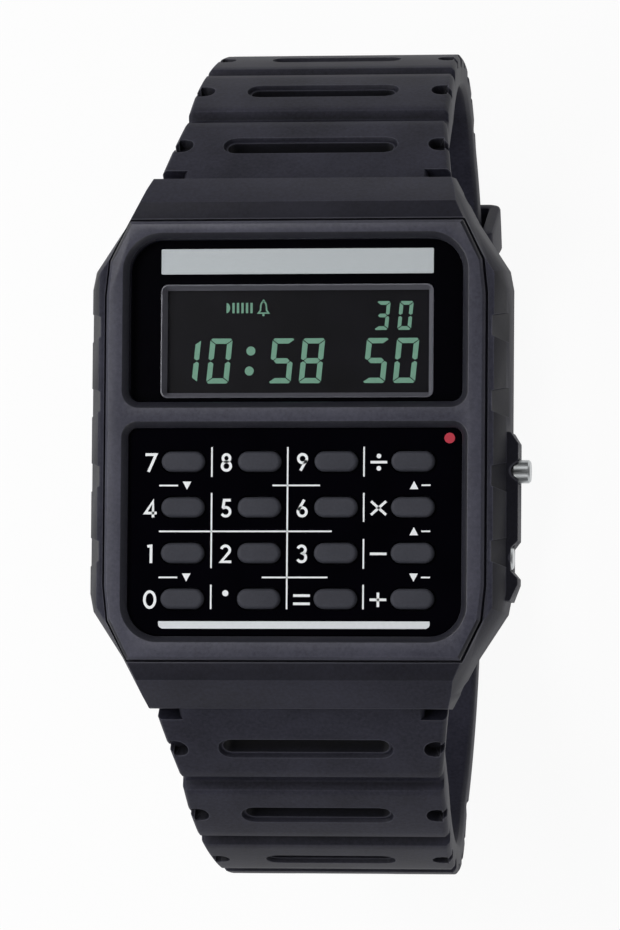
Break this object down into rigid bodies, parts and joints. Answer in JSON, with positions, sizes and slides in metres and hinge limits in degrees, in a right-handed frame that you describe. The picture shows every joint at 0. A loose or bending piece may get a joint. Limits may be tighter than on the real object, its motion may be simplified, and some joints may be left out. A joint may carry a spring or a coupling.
{
  "type": "calculator watch",
  "caption": "Digital wrist watch with a keypad under its display, a stiff resin case, two side pushers and a ribbed, slotted resin strap buckled into a loop.",
  "frame": {"origin": "centre of the case back's outer face, which lies on the wrist", "axes": "+Z out through the display, +Y towards the 12 o'clock strap, +X towards the side with the pushers"},
  "size_m": [0.0361, 0.0694, 0.0558],
  "materials": {
    "case_resin": "moulded satin resin",
    "bezel_resin": "moulded fine matt resin",
    "clear_window": "clear polished",
    "mask_black": "printed gloss black",
    "band_metal": "fine satin",
    "lcd_glass": "dark display film",
    "connector_rubber": "layered silicone",
    "panel_gloss": "gloss black",
    "mat_rubber": "matt silicone",
    "key_rubber": "matt silicone",
    "frame_plastic": "moulded",
    "board_laminate": "green laminate",
    "chip_epoxy": "potted epoxy",
    "steel": "turned stainless",
    "spring_steel": "drawn spring wire",
    "case_back_steel": "brushed stainless",
    "battery_steel": "nickel finish",
    "sounder_brass": "rolled",
    "seal_rubber": "moulded",
    "strap_resin": "moulded satin resin"
  },
  "bodies": {
    "root": {"case_body": "case_resin", "bezel": "bezel_resin", "display_window": "clear_window", "display_mask": "mask_black", "name_band": "band_metal", "lcd_panel": "lcd_glass", "lcd_connectors": "connector_rubber", "keypad_panel": "panel_gloss", "keypad_mat": "mat_rubber", "module_frame": "frame_plastic", "main_board": "board_laminate", "board_screws": "steel", "chip": "chip_epoxy", "crystal_can": "steel", "battery": "battery_steel", "battery_clip": "steel", "piezo_disc": "sounder_brass", "piezo_spring": "spring_steel", "case_gasket": "seal_rubber", "case_back": "case_back_steel", "case_back_screws": "steel", "mode_pusher_spring": "spring_steel", "mode_pusher_seal": "seal_rubber", "adjust_pusher_spring": "spring_steel", "adjust_pusher_seal": "seal_rubber", "upper_bar_tube": "steel", "upper_bar_spring": "spring_steel", "lower_bar_tube": "steel", "lower_bar_spring": "spring_steel", "strap_upper": "strap_resin", "strap_lower": "strap_resin"},
    "key_7": {"key_7": "key_rubber"},
    "key_8": {"key_8": "key_rubber"},
    "key_9": {"key_9": "key_rubber"},
    "key_divide": {"key_divide": "key_rubber"},
    "key_4": {"key_4": "key_rubber"},
    "key_5": {"key_5": "key_rubber"},
    "key_6": {"key_6": "key_rubber"},
    "key_multiply": {"key_multiply": "key_rubber"},
    "key_1": {"key_1": "key_rubber"},
    "key_2": {"key_2": "key_rubber"},
    "key_3": {"key_3": "key_rubber"},
    "key_minus": {"key_minus": "key_rubber"},
    "key_0": {"key_0": "key_rubber"},
    "key_point": {"key_point": "key_rubber"},
    "key_equals": {"key_equals": "key_rubber"},
    "key_plus": {"key_plus": "key_rubber"},
    "upper_bar_pin_left": {"upper_bar_pin_left": "steel"},
    "upper_bar_pin_right": {"upper_bar_pin_right": "steel"},
    "lower_bar_pin_left": {"lower_bar_pin_left": "steel"},
    "lower_bar_pin_right": {"lower_bar_pin_right": "steel"},
    "mode_pusher": {"mode_pusher": "steel", "mode_pusher_clip": "steel"},
    "adjust_pusher": {"adjust_pusher": "steel", "adjust_pusher_clip": "steel"},
    "loose_keeper": {"loose_keeper": "strap_resin"},
    "buckle": {"buckle_frame": "steel", "buckle_pin": "steel"},
    "buckle_tang": {"buckle_tang": "steel"}
  },
  "joints": [
    {"name": "key_7_press", "type": "slide", "parent": "root", "child": "key_7", "axis": [0, 0, -1], "range_m": [0, 0.0004], "stiffness_N_per_m": 500},
    {"name": "key_8_press", "type": "slide", "parent": "root", "child": "key_8", "axis": [0, 0, -1], "range_m": [0, 0.0004], "stiffness_N_per_m": 500},
    {"name": "key_9_press", "type": "slide", "parent": "root", "child": "key_9", "axis": [0, 0, -1], "range_m": [0, 0.0004], "stiffness_N_per_m": 500},
    {"name": "key_divide_press", "type": "slide", "parent": "root", "child": "key_divide", "axis": [0, 0, -1], "range_m": [0, 0.0004], "stiffness_N_per_m": 500},
    {"name": "key_4_press", "type": "slide", "parent": "root", "child": "key_4", "axis": [0, 0, -1], "range_m": [0, 0.0004], "stiffness_N_per_m": 500},
    {"name": "key_5_press", "type": "slide", "parent": "root", "child": "key_5", "axis": [0, 0, -1], "range_m": [0, 0.0004], "stiffness_N_per_m": 500},
    {"name": "key_6_press", "type": "slide", "parent": "root", "child": "key_6", "axis": [0, 0, -1], "range_m": [0, 0.0004], "stiffness_N_per_m": 500},
    {"name": "key_multiply_press", "type": "slide", "parent": "root", "child": "key_multiply", "axis": [0, 0, -1], "range_m": [0, 0.0004], "stiffness_N_per_m": 500},
    {"name": "key_1_press", "type": "slide", "parent": "root", "child": "key_1", "axis": [0, 0, -1], "range_m": [0, 0.0004], "stiffness_N_per_m": 500},
    {"name": "key_2_press", "type": "slide", "parent": "root", "child": "key_2", "axis": [0, 0, -1], "range_m": [0, 0.0004], "stiffness_N_per_m": 500},
    {"name": "key_3_press", "type": "slide", "parent": "root", "child": "key_3", "axis": [0, 0, -1], "range_m": [0, 0.0004], "stiffness_N_per_m": 500},
    {"name": "key_minus_press", "type": "slide", "parent": "root", "child": "key_minus", "axis": [0, 0, -1], "range_m": [0, 0.0004], "stiffness_N_per_m": 500},
    {"name": "key_0_press", "type": "slide", "parent": "root", "child": "key_0", "axis": [0, 0, -1], "range_m": [0, 0.0004], "stiffness_N_per_m": 500},
    {"name": "key_point_press", "type": "slide", "parent": "root", "child": "key_point", "axis": [0, 0, -1], "range_m": [0, 0.0004], "stiffness_N_per_m": 500},
    {"name": "key_equals_press", "type": "slide", "parent": "root", "child": "key_equals", "axis": [0, 0, -1], "range_m": [0, 0.0004], "stiffness_N_per_m": 500},
    {"name": "key_plus_press", "type": "slide", "parent": "root", "child": "key_plus", "axis": [0, 0, -1], "range_m": [0, 0.0004], "stiffness_N_per_m": 500},
    {"name": "mode_push", "type": "slide", "parent": "root", "child": "mode_pusher", "axis": [-1, 0, 0], "range_m": [0, 0.00075], "stiffness_N_per_m": 700, "deforming": ["mode_pusher_spring"]},
    {"name": "adjust_push", "type": "slide", "parent": "root", "child": "adjust_pusher", "axis": [-1, 0, 0], "range_m": [0, 0.0005], "stiffness_N_per_m": 900, "deforming": ["adjust_pusher_spring"]},
    {"name": "upper_bar_pin_left_retract", "type": "slide", "parent": "root", "child": "upper_bar_pin_left", "axis": [1, 0, 0], "range_m": [0, 0.0016], "stiffness_N_per_m": 900, "deforming": ["upper_bar_spring"]},
    {"name": "upper_bar_pin_right_retract", "type": "slide", "parent": "root", "child": "upper_bar_pin_right", "axis": [-1, 0, 0], "range_m": [0, 0.0016], "stiffness_N_per_m": 900, "deforming": ["upper_bar_spring"]},
    {"name": "lower_bar_pin_left_retract", "type": "slide", "parent": "root", "child": "lower_bar_pin_left", "axis": [1, 0, 0], "range_m": [0, 0.0016], "stiffness_N_per_m": 900, "deforming": ["lower_bar_spring"]},
    {"name": "lower_bar_pin_right_retract", "type": "slide", "parent": "root", "child": "lower_bar_pin_right", "axis": [-1, 0, 0], "range_m": [0, 0.0016], "stiffness_N_per_m": 900, "deforming": ["lower_bar_spring"]},
    {"name": "keeper_slide_round_strap", "type": "hinge", "parent": "root", "child": "loose_keeper", "pos_m": [0, 0.01342, -0.02253], "axis": [1, 0, 0], "range_deg": [-12, 18]},
    {"name": "buckle_hinge", "type": "hinge", "parent": "root", "child": "buckle", "pos_m": [0, 0.002, -0.04265], "axis": [1, 0, 0], "range_deg": [0, 5]},
    {"name": "tang_hinge", "type": "hinge", "parent": "buckle", "child": "buckle_tang", "pos_m": [0, 0.002, -0.04265], "axis": [1, 0, 0], "range_deg": [0, 7]}
  ]
}
